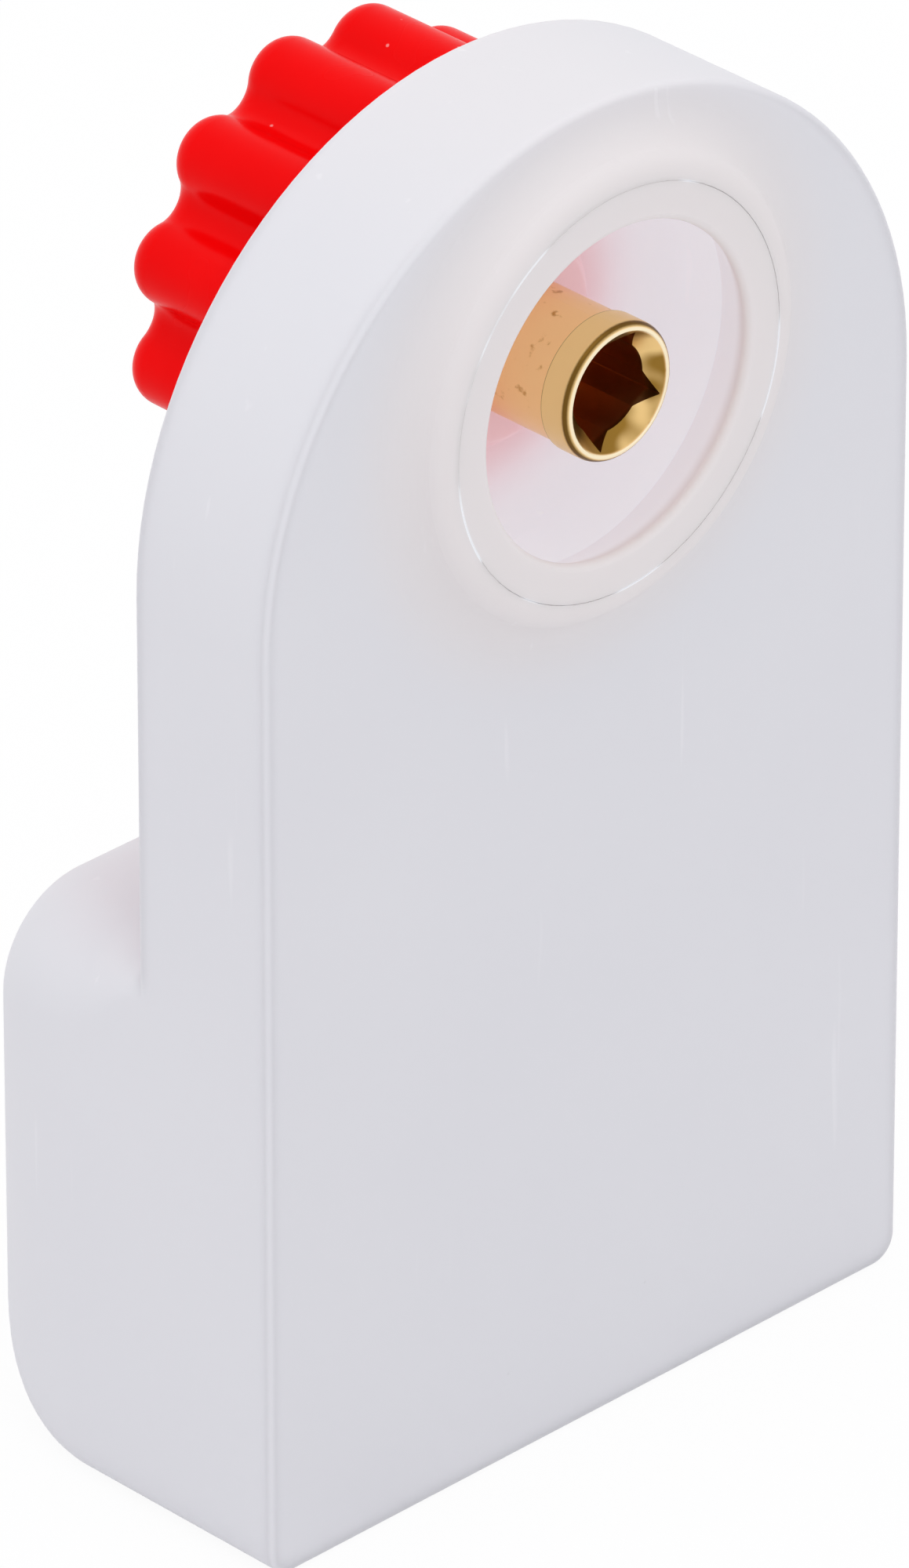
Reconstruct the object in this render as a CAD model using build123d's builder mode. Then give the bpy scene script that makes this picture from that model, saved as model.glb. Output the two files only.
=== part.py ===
from build123d import *
import math
import os

os.makedirs("parts", exist_ok=True)

# String winder: a hand-held plastic body with a rear grip block, a brass
# square-socket spindle in front and a twelve-lobed knob behind, 1:1.
# Frame: X across the plate, +Y from the plate front to the grip block, +Z up.
# The origin is the middle of the bottom of the overall box.

# ---------------------------------------------------------------- body sizes
body_width = 60.0            # across the two flat sides
body_height = 101.0          # bottom to the crown of the arch
plate_depth = 12.5           # thickness of the upright plate
block_height = 41.7          # bottom to the top of the grip block
block_depth = 36.8           # plate front to the back of the grip block
block_plan_radius = 18.0     # back corners seen from above
block_top_radius = 16.0      # top of the back, seen from the side
block_base_radius = 18.3     # bottom of the back, seen from the side
block_edge_start = 1.6       # side edges of the block top, at the plate
block_edge_end = 10.0        # side edges of the block top, at the back
round_steps = 8              # sections that form the rounded back
block_root_fillet = 1.0      # where the block top runs into the plate
foot_radius = 2.0            # two bottom edges running front to back
edge_break = 0.4             # outline of the plate, front and back

# ------------------------------------------------------------- spindle place
axis_height = 80.6           # spindle axis above the base
proud = 2.5                  # collar and spindle in front of the plate face

# ----------------------------------------------------- boss, recess and web
boss_radius = 16.2           # raised boss round the recess mouth, at its top
boss_base_radius = 18.0      # where its slope meets the face
boss_shoulder = 2.0
boss_foot = 3.5              # soft run of the slope into the face
boss_skirt = 19.9            # reach of the foot's tangent on the face
recess_radius = 14.4
recess_corner = 3.0          # rounding between recess wall and floor
web_thickness = 2.8          # wall left behind the recess
recess_depth = plate_depth - web_thickness

# ------------------------------------------------------------- front collar
collar_outer_radius = 14.9
collar_mouth_radius = 11.8   # before rounding
collar_throat_radius = 14.0  # rear end of the tapered bore
collar_seat_depth = 2.0      # collar seat behind the plate front
collar_mouth_round = 0.5
collar_edge = 0.04           # small break on the collar's joint line
collar_fit = 0.02            # radial clearance of the collar in the boss

# ------------------------------------------------------------- bearing bush
journal_radius = 4.0
running_clearance = 0.03     # radial, journal in bush
bush_radius = 6.0
bush_fit = 0.01              # radial, bush in the web
bush_flange_radius = 8.0
bush_flange = 1.0

# ---------------------------------------------------------- thrust washers
end_float = 0.05             # axial clearance on each face of a washer
front_washer_radius = 7.4
front_washer = 0.6
rear_washer_radius = 8.4
rear_washer = 0.8

# ------------------------------------------------------------------ spindle
head_radius = 5.0
head_length = 2.4
head_round = 0.7
shank_radius = 4.75
socket_square = 6.0          # across flats
socket_depth = 8.6
pilot_radius = 3.25
pilot_depth = 9.6
countersink_radius = 4.45
drive_square = 5.0           # rear end of the spindle, across flats
drive_clearance = 0.03
drive_corner_break = 0.4
screw_radius = 2.0
screw_tip_gap = 0.7          # free depth beyond the screw tip
thread_clearance = 0.02

# --------------------------------------------------------------------- knob
knob_tip_radius = 17.4
knob_valley_radius = 14.95
lobe_count = 12
lobe_radius = 3.0
lobe_phase = 13.0            # degrees, first lobe from +X seen from the front
knob_gap = 1.7               # plate back to knob front
knob_length = 13.3
knob_rear_round = 2.0
knob_front_round = 1.0
well_radius = 6.6            # screw well in the back of the knob

# ---------------------------------------------------------------- knob hub
hub_radius = 7.0
hub_fit = 0.01
hub_flange_radius = 9.0
hub_flange = 1.2
hub_length = 7.0
hub_groove_depth = 0.5
hub_groove_width = 1.2

# --------------------------------------------------- screw, washer and cap
lock_washer_radius = 3.9
lock_washer = 0.8
washer_clearance = 0.05
screw_head_radius = 3.6
screw_head = 2.4
screw_length = 10.0
screw_slot = 1.0
screw_slot_depth = 1.1
cap_radius = 7.8
cap_flange = 0.9
cap_spigot = 2.0
cap_wall = 1.2
cap_fit = 0.02

# -------------------------------------------------------- derived positions
# Depths are measured from the plate front face, positive toward the back.
face_y = -(block_depth + proud) / 2 + proud
arch_radius = body_width / 2
arch_height = body_height - arch_radius
bush_front = recess_depth - bush_flange
bush_rear = plate_depth + 0.1
spindle_shoulder = bush_front - front_washer - 2 * end_float
front_washer_front = spindle_shoulder + end_float
rear_washer_front = bush_rear + end_float
hub_front = rear_washer_front + rear_washer + end_float
hub_rear = hub_front + hub_length
knob_front = plate_depth + knob_gap
knob_rear = knob_front + knob_length
spindle_rear = hub_rear - 0.2
lock_washer_front = hub_rear
screw_seat = lock_washer_front + lock_washer
screw_tip = screw_seat - screw_length
screw_hole_depth = spindle_rear - screw_tip + screw_tip_gap
front_tip = -proud

spindle_axis = Axis((0, face_y, axis_height), (0, 1, 0))
turning_plane = Plane(
    origin=(0, face_y, axis_height), x_dir=(0, 1, 0), z_dir=(1, 0, 0)
)


def front_plane(depth):
    """Plane facing the front, its origin on the base line of the body."""
    return Plane(origin=(0, face_y + depth, 0), x_dir=(1, 0, 0), z_dir=(0, -1, 0))


def axis_plane(depth):
    """Plane facing the front, its origin on the spindle axis."""
    return Plane(
        origin=(0, face_y + depth, axis_height), x_dir=(1, 0, 0), z_dir=(0, -1, 0)
    )


def drawn_in(radius, depth):
    """How far a side with this back radius has come in at a depth."""
    past = max(0.0, depth - (block_depth - radius))
    return radius - math.sqrt(max(0.0, radius**2 - past**2))


def edge_radius(depth):
    """Radius of the block's two upper side edges, growing toward the back."""
    share = (depth - root_depth) / (block_depth - root_depth)
    return block_edge_start + (block_edge_end - block_edge_start) * math.sqrt(share)


# ------------------------------------------------------------------- body
root_depth = plate_depth + block_root_fillet
with BuildPart() as body:
    # Straight first part of the grip block, behind the root fillet.
    for depth in (root_depth, block_depth - block_base_radius):
        with BuildSketch(front_plane(depth)) as straight_section:
            with Locations((0, block_height / 2)):
                Rectangle(body_width, block_height)
            upper = straight_section.vertices().group_by(Axis.Y)[-1]
            fillet(upper, edge_radius(depth))
            lower = straight_section.vertices().group_by(Axis.Y)[0]
            fillet(lower, foot_radius)
    loft(ruled=True)

    # Rounded back: each section is drawn in on all four sides.
    for step in range(round_steps + 1):
        turn = math.radians(90 * step / round_steps)
        depth = block_depth - block_base_radius * (1 - math.sin(turn))
        half_width = body_width / 2 - drawn_in(block_plan_radius, depth)
        top = block_height - drawn_in(block_top_radius, depth)
        bottom = drawn_in(block_base_radius, depth)
        with BuildSketch(front_plane(depth)) as back_section:
            with Locations((0, (top + bottom) / 2)):
                Rectangle(2 * half_width, top - bottom)
            upper = back_section.vertices().group_by(Axis.Y)[-1]
            fillet(upper, edge_radius(depth) * (top - bottom) / block_height)
            lower = back_section.vertices().group_by(Axis.Y)[0]
            fillet(lower, foot_radius)
    loft()

    # Upright plate with its half-round top.
    with BuildSketch(front_plane(0)) as plate_outline:
        with Locations((0, arch_height / 2)):
            Rectangle(body_width, arch_height)
        with Locations((0, arch_height)):
            Circle(arch_radius)
        fillet(plate_outline.vertices().group_by(Axis.Y)[0], foot_radius)
    extrude(amount=-plate_depth)

    # Foot of the plate carried back to the block, then a fillet strip on top
    # between the block's rounded side edges.
    with BuildSketch(front_plane(plate_depth)) as root_outline:
        with Locations((0, block_height / 2)):
            Rectangle(body_width, block_height)
        fillet(root_outline.vertices().group_by(Axis.Y)[-1], block_edge_start)
        fillet(root_outline.vertices().group_by(Axis.Y)[0], foot_radius)
    extrude(amount=-block_root_fillet)
    with BuildSketch(Plane.YZ.offset(block_edge_start - body_width / 2)) as root_profile:
        with Locations((face_y + plate_depth, block_height)):
            Rectangle(
                block_root_fillet, block_root_fillet, align=(Align.MIN, Align.MIN)
            )
        with Locations(
            (face_y + root_depth, block_height + block_root_fillet)
        ):
            Circle(block_root_fillet, mode=Mode.SUBTRACT)
    extrude(amount=body_width - 2 * block_edge_start)

    # Broken edges round the plate: whole outline in front, arch behind.
    outline = body.faces().sort_by(Axis.Y)[0].edges()
    fillet(outline, edge_break)
    plate_back = face_y + plate_depth
    above_block = body.edges().filter_by_position(
        Axis.Z, block_height + block_root_fillet, body_height, (False, True)
    )
    rear_outline = above_block.filter_by_position(
        Axis.Y, plate_back - 0.01, plate_back + 0.01
    )
    fillet(rear_outline, edge_break)

    # Boss round the recess mouth: rounded shoulder, slope and soft foot.
    with BuildSketch(turning_plane) as boss_profile:
        with BuildLine() as boss_line:
            Polyline(
                (front_tip, 0),
                (front_tip, boss_radius),
                (0, boss_base_radius),
                (0, boss_skirt),
                (plate_depth / 2, boss_skirt),
                (plate_depth / 2, 0),
                close=True,
            )
        make_face()
        shoulder_corner = boss_profile.vertices().group_by(Axis.X)[0].sort_by(Axis.Y)[-1]
        fillet(shoulder_corner, boss_shoulder)
        foot_corner = boss_profile.vertices().filter_by_position(
            Axis.Y, boss_base_radius - 0.01, boss_base_radius + 0.01
        )
        fillet(foot_corner, boss_foot)
    revolve(axis=spindle_axis)

    # Seat for the front collar, then the recess with its rounded corner.
    with BuildSketch(axis_plane(front_tip)) as collar_seat:
        Circle(collar_outer_radius + collar_fit)
    extrude(amount=-(proud + collar_seat_depth), mode=Mode.SUBTRACT)
    with BuildSketch(turning_plane) as recess_profile:
        with BuildLine() as recess_line:
            Polyline(
                (front_tip, 0),
                (front_tip, recess_radius),
                (recess_depth, recess_radius),
                (recess_depth, 0),
                close=True,
            )
        make_face()
        corner = recess_profile.vertices().group_by(Axis.X)[-1].sort_by(Axis.Y)[-1]
        fillet(corner, recess_corner)
    revolve(axis=spindle_axis, mode=Mode.SUBTRACT)

    # Bore through the web for the bearing bush.
    with BuildSketch(axis_plane(recess_depth)) as web_bore:
        Circle(bush_radius + bush_fit)
    extrude(amount=-web_thickness, mode=Mode.SUBTRACT)
body.part.label = "body"
export_step(body.part, "parts/body.step")

# ----------------------------------------------------------- front collar
# Ring let into the boss, level with its top. Its bore widens toward the recess.
with BuildPart() as front_collar:
    with BuildSketch(turning_plane) as collar_profile:
        with BuildLine() as collar_line:
            Polyline(
                (front_tip, collar_mouth_radius),
                (front_tip, collar_outer_radius - collar_edge),
                (front_tip + collar_edge, collar_outer_radius),
                (collar_seat_depth, collar_outer_radius),
                (collar_seat_depth, collar_throat_radius),
                close=True,
            )
        make_face()
        mouth = collar_profile.vertices().group_by(Axis.X)[0].sort_by(Axis.Y)[0]
        fillet(mouth, collar_mouth_round)
    revolve(axis=spindle_axis)
front_collar.part.label = "front_collar"
export_step(front_collar.part, "parts/front_collar.step")

# ----------------------------------------------------------- bearing bush
with BuildPart() as bearing_bush:
    with BuildSketch(axis_plane(bush_front)) as bush_flange_disc:
        Circle(bush_flange_radius)
    extrude(amount=-bush_flange)
    with BuildSketch(axis_plane(recess_depth)) as bush_barrel:
        Circle(bush_radius)
    extrude(amount=-(bush_rear - recess_depth))
    with BuildSketch(axis_plane(bush_front)) as bush_bore:
        Circle(journal_radius + running_clearance)
    extrude(amount=-(bush_rear - bush_front), mode=Mode.SUBTRACT)
bearing_bush.part.label = "bearing_bush"
export_step(bearing_bush.part, "parts/bearing_bush.step")

# ---------------------------------------------------------------- spindle
with BuildPart() as spindle:
    # Turned outline: head, shank, journal and rear drive end.
    with BuildSketch(turning_plane) as spindle_profile:
        with BuildLine() as spindle_line:
            Polyline(
                (front_tip, 0),
                (front_tip, head_radius),
                (front_tip + head_length, head_radius),
                (front_tip + head_length, shank_radius),
                (spindle_shoulder, shank_radius),
                (spindle_shoulder, journal_radius),
                (spindle_rear, journal_radius),
                (spindle_rear, 0),
                close=True,
            )
        make_face()
        rim = spindle_profile.vertices().group_by(Axis.Y)[-1].sort_by(Axis.X)[0]
        fillet(rim, head_round)
    revolve(axis=spindle_axis)

    # Square socket broached over a round pilot, with a countersunk mouth.
    with BuildSketch(axis_plane(front_tip)) as socket:
        Rectangle(socket_square, socket_square, rotation=-22 + 45)
        corner = countersink_radius - 0.25
        Circle(corner, mode=Mode.INTERSECT)
    extrude(amount=-socket_depth, mode=Mode.SUBTRACT)
    with BuildSketch(axis_plane(front_tip)) as pilot:
        Circle(pilot_radius)
    extrude(amount=-pilot_depth, mode=Mode.SUBTRACT)
    sink_depth = countersink_radius - pilot_radius
    with BuildSketch(turning_plane) as sink_profile:
        with BuildLine() as sink_line:
            Polyline(
                (front_tip, 0),
                (front_tip, countersink_radius),
                (front_tip + sink_depth, pilot_radius),
                (front_tip + sink_depth, 0),
                close=True,
            )
        make_face()
    revolve(axis=spindle_axis, mode=Mode.SUBTRACT)

    # Square drive end for the knob hub.
    with BuildSketch(axis_plane(hub_front)) as drive_waste:
        Circle(journal_radius + 1)
        with BuildSketch(mode=Mode.PRIVATE) as drive_section:
            Rectangle(drive_square, drive_square)
            fillet(drive_section.vertices(), drive_corner_break)
        add(drive_section.sketch, mode=Mode.SUBTRACT)
    extrude(amount=-(spindle_rear - hub_front), mode=Mode.SUBTRACT)

    # Threaded hole for the knob screw.
    with BuildSketch(axis_plane(spindle_rear)) as screw_hole:
        Circle(screw_radius + thread_clearance)
    extrude(amount=screw_hole_depth, mode=Mode.SUBTRACT)
spindle.part.label = "spindle"
export_step(spindle.part, "parts/spindle.step")

# --------------------------------------------------------- thrust washers
with BuildPart() as front_thrust_washer:
    with BuildSketch(axis_plane(front_washer_front)) as front_ring:
        Circle(front_washer_radius)
        Circle(journal_radius + washer_clearance, mode=Mode.SUBTRACT)
    extrude(amount=-front_washer)
front_thrust_washer.part.label = "front_thrust_washer"
export_step(front_thrust_washer.part, "parts/front_thrust_washer.step")

with BuildPart() as rear_thrust_washer:
    with BuildSketch(axis_plane(rear_washer_front)) as rear_ring:
        Circle(rear_washer_radius)
        Circle(journal_radius + washer_clearance, mode=Mode.SUBTRACT)
    extrude(amount=-rear_washer)
rear_thrust_washer.part.label = "rear_thrust_washer"
export_step(rear_thrust_washer.part, "parts/rear_thrust_washer.step")

# --------------------------------------------------------------- knob hub
with BuildPart() as knob_hub:
    with BuildSketch(axis_plane(hub_front)) as hub_flange_disc:
        Circle(hub_flange_radius)
    extrude(amount=-hub_flange)
    with BuildSketch(axis_plane(hub_front)) as hub_barrel:
        Circle(hub_radius)
    extrude(amount=-hub_length)
    # Groove that the knob plastic grips.
    groove_front = hub_front + hub_flange + 2.0
    with BuildSketch(axis_plane(groove_front)) as hub_groove:
        Circle(hub_radius)
        Circle(hub_radius - hub_groove_depth, mode=Mode.SUBTRACT)
    extrude(amount=-hub_groove_width, mode=Mode.SUBTRACT)
    # Square hole over the drive end of the spindle.
    with BuildSketch(axis_plane(hub_front)) as hub_square:
        Rectangle(
            drive_square + 2 * drive_clearance, drive_square + 2 * drive_clearance
        )
    extrude(amount=-hub_length, mode=Mode.SUBTRACT)
knob_hub.part.label = "knob_hub"
export_step(knob_hub.part, "parts/knob_hub.step")

# ------------------------------------------------------------------- knob
# Wavy outline of tangent arcs: lobe arcs and valley arcs meet on the sides of
# a polygon joining their centres.
lobe_centre = knob_tip_radius - lobe_radius
half_pitch = math.radians(180 / lobe_count)
valley_offset = knob_valley_radius - lobe_radius
valley_centre = (lobe_centre**2 - valley_offset**2) / (
    2 * (lobe_centre * math.cos(half_pitch) - valley_offset)
)
valley_radius = valley_centre - knob_valley_radius
centres = []
for lobe in range(lobe_count):
    lobe_angle = math.radians(lobe_phase) + 2 * half_pitch * lobe
    valley_angle = lobe_angle + half_pitch
    centres.append(
        (lobe_centre * math.cos(lobe_angle), lobe_centre * math.sin(lobe_angle))
    )
    centres.append(
        (valley_centre * math.cos(valley_angle), valley_centre * math.sin(valley_angle))
    )

with BuildPart() as knob:
    with BuildSketch(axis_plane(knob_front)) as knob_outline:
        with BuildLine() as centre_polygon:
            Polyline(*centres, close=True)
        make_face()
        with PolarLocations(lobe_centre, lobe_count, start_angle=lobe_phase):
            Circle(lobe_radius)
        with PolarLocations(
            valley_centre, lobe_count, start_angle=lobe_phase + 180 / lobe_count
        ):
            Circle(valley_radius, mode=Mode.SUBTRACT)
    extrude(amount=-knob_length)
    fillet(knob.faces().sort_by(Axis.Y)[-1].edges(), knob_rear_round)
    fillet(knob.faces().sort_by(Axis.Y)[0].edges(), knob_front_round)

    # Seat for the hub flange and bore for the hub barrel.
    with BuildSketch(axis_plane(knob_front)) as flange_seat:
        Circle(hub_flange_radius + hub_fit)
    seat_depth = hub_front + hub_flange - knob_front
    extrude(amount=-seat_depth, mode=Mode.SUBTRACT)
    with BuildSketch(axis_plane(knob_front)) as hub_bore:
        Circle(hub_radius + hub_fit)
    extrude(amount=-(hub_rear - knob_front), mode=Mode.SUBTRACT)
    # Screw well from the back.
    with BuildSketch(axis_plane(knob_rear)) as screw_well:
        Circle(well_radius)
    extrude(amount=knob_rear - hub_rear, mode=Mode.SUBTRACT)
knob.part.label = "knob"
export_step(knob.part, "parts/knob.step")

# ------------------------------------------------------------ lock washer
with BuildPart() as lock_washer_ring:
    with BuildSketch(axis_plane(lock_washer_front)) as lock_ring:
        Circle(lock_washer_radius)
        Circle(screw_radius + washer_clearance, mode=Mode.SUBTRACT)
    extrude(amount=-lock_washer)
    # Split of the spring washer.
    with BuildSketch(axis_plane(lock_washer_front)) as split:
        with Locations((0, lock_washer_radius)):
            Rectangle(0.5, 2 * lock_washer_radius)
    extrude(amount=-lock_washer, mode=Mode.SUBTRACT)
lock_washer_ring.part.label = "lock_washer"
export_step(lock_washer_ring.part, "parts/lock_washer.step")

# ------------------------------------------------------------- knob screw
with BuildPart() as knob_screw:
    with BuildSketch(axis_plane(screw_seat)) as screw_head_disc:
        Circle(screw_head_radius)
    extrude(amount=-screw_head)
    fillet(knob_screw.edges().sort_by(Axis.Y)[-1], 0.8)
    with BuildSketch(axis_plane(screw_seat)) as screw_shank:
        Circle(screw_radius)
    extrude(amount=screw_length)
    chamfer(knob_screw.edges().sort_by(Axis.Y)[0], 0.5)
    # Driver slot.
    with BuildSketch(axis_plane(screw_seat + screw_head)) as driver_slot:
        Rectangle(3 * screw_head_radius, screw_slot)
    extrude(amount=screw_slot_depth, mode=Mode.SUBTRACT)
knob_screw.part.label = "knob_screw"
export_step(knob_screw.part, "parts/knob_screw.step")

# --------------------------------------------------------------- knob cap
with BuildPart() as knob_cap:
    with BuildSketch(axis_plane(knob_rear)) as cap_disc:
        Circle(cap_radius)
    extrude(amount=-cap_flange)
    fillet(knob_cap.faces().sort_by(Axis.Y)[-1].edges(), 0.6)
    with BuildSketch(axis_plane(knob_rear)) as cap_ring:
        Circle(well_radius - cap_fit)
        Circle(well_radius - cap_fit - cap_wall, mode=Mode.SUBTRACT)
    extrude(amount=cap_spigot)
knob_cap.part.label = "knob_cap"
export_step(knob_cap.part, "parts/knob_cap.step")
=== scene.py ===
"""Studio scene of a hand-held string winder, dressed on its CAD frame.

The winder is a milky plastic plate with a thick grip block, a brass spindle
with a square socket in a collared recess, and a red lobed knob behind it.
Lengths are metres in the frame of the CAD model: X across the plate, Y from
the socket toward the knob, Z up.
"""

import logging
import math
from dataclasses import dataclass, replace
from typing import Any

import bpy
from mathutils import Matrix, Vector


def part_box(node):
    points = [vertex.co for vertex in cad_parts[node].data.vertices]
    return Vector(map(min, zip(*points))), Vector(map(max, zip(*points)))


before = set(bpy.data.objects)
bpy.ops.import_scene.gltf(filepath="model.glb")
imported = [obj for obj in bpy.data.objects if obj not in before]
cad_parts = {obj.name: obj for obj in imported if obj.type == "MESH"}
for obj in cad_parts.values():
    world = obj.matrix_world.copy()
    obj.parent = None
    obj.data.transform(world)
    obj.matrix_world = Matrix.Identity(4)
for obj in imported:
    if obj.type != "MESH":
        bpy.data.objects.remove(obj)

LOG = logging.getLogger("string_winder")
MM = 0.001


# --------------------------------------------------------------------------
# Colours and nodes
# --------------------------------------------------------------------------


def linear(hex_colour: str) -> tuple[float, float, float, float]:
    """Turn an sRGB hex colour into the linear values that a shader takes.

    Args:
        hex_colour: Six hex digits with or without a leading hash.

    Returns:
        Linear red, green and blue, and an alpha of 1.
    """
    digits = hex_colour.lstrip("#")
    channels = []
    for start in (0, 2, 4):
        value = int(digits[start : start + 2], 16) / 255
        low = value / 12.92
        high = ((value + 0.055) / 1.055) ** 2.4
        channels.append(low if value <= 0.04045 else high)
    return (channels[0], channels[1], channels[2], 1.0)


def add_node(
    tree: bpy.types.NodeTree,
    kind: str,
    settings: dict[str, Any] | None = None,
    inputs: dict[Any, Any] | None = None,
) -> bpy.types.Node:
    """Add one node with its settings, values and links.

    Args:
        tree: Node tree that takes the node.
        kind: Blender's name of the node type.
        settings: Attributes of the node.
        inputs: Input names or numbers, each with a value or an output socket.

    Returns:
        The new node.
    """
    node = tree.nodes.new(kind)
    for name, value in (settings or {}).items():
        setattr(node, name, value)
    for key, value in (inputs or {}).items():
        if isinstance(value, bpy.types.NodeSocket):
            tree.links.new(value, node.inputs[key])
        else:
            node.inputs[key].default_value = value
    return node


def empty_material(name: str) -> bpy.types.Material:
    """Make a new node material with nothing in its tree.

    Args:
        name: Name of the material.

    Returns:
        The empty material.
    """
    material = bpy.data.materials.new(name)
    material.use_nodes = True
    material.node_tree.nodes.clear()
    return material


def spindle_axis() -> tuple[float, float]:
    """Find the spindle's axis and tip from the collar that they line up with.

    Returns:
        Height of the axis, and the Y of the tip: it is level with the collar's
        face, and the collar is centred on the axis.
    """
    low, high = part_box("front_collar")
    return (low[2] + high[2]) / 2, low[1]


# --------------------------------------------------------------------------
# Finishes
# --------------------------------------------------------------------------


@dataclass(frozen=True)
class MilkyPolyethylene:
    """Natural polyethylene, moulded: milky, satin, light passes thin walls.

    The eye sees an even cool white that hides its outer edges, a warmer ring
    round the recess, pink where the red knob shines through the web behind it,
    bright arcs on the collar's joint line, tiny specks, and hairline scratches
    from handling. The glow, the warm ring, the joint line's bright arcs and the
    light in the recess are painted light: they stand for light that the plastic
    carries or catches, and don't change with the lamps. A plastic with no glow
    centre has none of them.

    Fields that end in _mm are millimetres. Other lengths are metres, shares
    and strengths are plain numbers, and a pair is where a fade starts and ends.
    """

    name: str = "milky_polyethylene"
    colour: str = "#DDDDE1"
    cloud_colour: str = "#D9D9DE"
    speck_colour: str = "#A9A7A8"
    scratch_colour: str = "#F4F3F6"
    glow_colour: str = "#CE8E92"
    carried_colour: str = "#D0E4F2"
    warm_colour: str = "#E1DCDC"
    roughness: float = 0.55
    satin_spread: tuple[float, float] = (-0.05, 0.06)
    ior: float = 1.51
    specular: float = 0.3
    translucency: float = 0.3
    depth_mm: float = 1.2
    depth_by_colour: tuple[float, float, float] = (1.0, 0.92, 0.95)
    cloud_mm: float = 26.0
    grain_mm: float = 0.35
    grain_strength: float = 0.06
    relief_mm: float = 0.03
    speck_pitch_mm: float = 6.5
    speck_edge: tuple[float, float] = (0.020, 0.045)
    speck_lot: float = 0.78
    speck_share: float = 0.55
    scratch_pitch_mm: float = 1.6
    scratch_spread: tuple[float, float, float] = (1.0, 1.0, 0.06)
    scratch_turn: tuple[float, float, float] = (0.3, 0.5, 0.7)
    scratch_edge: tuple[float, float] = (0.70, 0.76)
    scratch_share: float = 0.16
    scratch_strength: float = 0.25
    least_soft_edge_mm: float = 0.1
    soft_edge_mm: float = 2.2
    soft_edge_fade: tuple[float, float] = (0.0195, 0.0240)
    glow_centre: tuple[float, float, float] | None = None
    glow_radius: float = 0.0165
    glow_core: float = 0.35
    glow_plane: float = 0.0
    glow_reach: float = 0.0042
    glow_layer: float = 0.3
    glow_strength: float = 0.7
    carried_light: float = 0.0
    warm_radius: float = 0.0150
    warm_fade: float = 0.0090
    joint_radius: float = 0.0149
    # The collar's joint line: a painted highlight in scattered arcs.
    joint_line_mm: tuple[float, float] = (0.04, 0.12)
    joint_patch_mm: float = 9.0
    joint_highlight_edge: tuple[float, float] = (0.48, 0.56)
    joint_light: float = 0.22
    throat_radius: float = 0.0150
    throat_edge: float = 0.0006
    throat_front: float = 0.0
    throat_fade: float = 0.002
    behind_glow: float = 0.0012

    def build(self) -> bpy.types.Material:
        """Make the material.

        Returns:
            The node material.
        """
        material = empty_material(self.name)
        tree = material.node_tree
        place = add_node(tree, "ShaderNodeTexCoord").outputs["Object"]

        # Cloudy tone of the milky plastic.
        cloud = add_node(
            tree,
            "ShaderNodeTexNoise",
            None,
            {"Vector": place, "Scale": 1 / (self.cloud_mm * MM), "Detail": 3.0},
        )
        tone = add_node(
            tree,
            "ShaderNodeMix",
            {"data_type": "RGBA"},
            {
                "Factor": cloud.outputs["Fac"],
                6: linear(self.cloud_colour),
                7: linear(self.colour),
            },
        )
        colour = tone.outputs[2]

        # Sparse specks: about one cell in five carries a dot of some 0.25 mm.
        cells = add_node(
            tree,
            "ShaderNodeTexVoronoi",
            None,
            {"Vector": place, "Scale": 1 / (self.speck_pitch_mm * MM)},
        )
        dot = add_node(
            tree,
            "ShaderNodeMapRange",
            {"interpolation_type": "SMOOTHSTEP"},
            {
                "Value": cells.outputs["Distance"],
                "From Min": self.speck_edge[0],
                "From Max": self.speck_edge[1],
                "To Min": 1.0,
                "To Max": 0.0,
            },
        )
        lot = add_node(
            tree, "ShaderNodeSeparateColor", None, {0: cells.outputs["Color"]}
        )
        chosen = add_node(
            tree,
            "ShaderNodeMath",
            {"operation": "GREATER_THAN"},
            {0: lot.outputs[0], 1: self.speck_lot},
        )
        speck = add_node(
            tree,
            "ShaderNodeMath",
            {"operation": "MULTIPLY"},
            {0: dot.outputs[0], 1: chosen.outputs[0]},
        )
        faint = add_node(
            tree,
            "ShaderNodeMath",
            {"operation": "MULTIPLY"},
            {0: speck.outputs[0], 1: self.speck_share},
        )
        colour = add_node(
            tree,
            "ShaderNodeMix",
            {"data_type": "RGBA"},
            {"Factor": faint.outputs[0], 6: colour, 7: linear(self.speck_colour)},
        ).outputs[2]

        inner_colour = linear(self.carried_colour)
        carried: bpy.types.NodeSocket | float = 0.0
        if self.glow_centre is not None:
            colour = self.add_warmth(tree, place, colour)
            colour = self.add_glow(tree, place, colour)
            inner_colour = self.add_glow(tree, place, inner_colour)
            carried = self.add_carried_light(tree, place)

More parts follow.
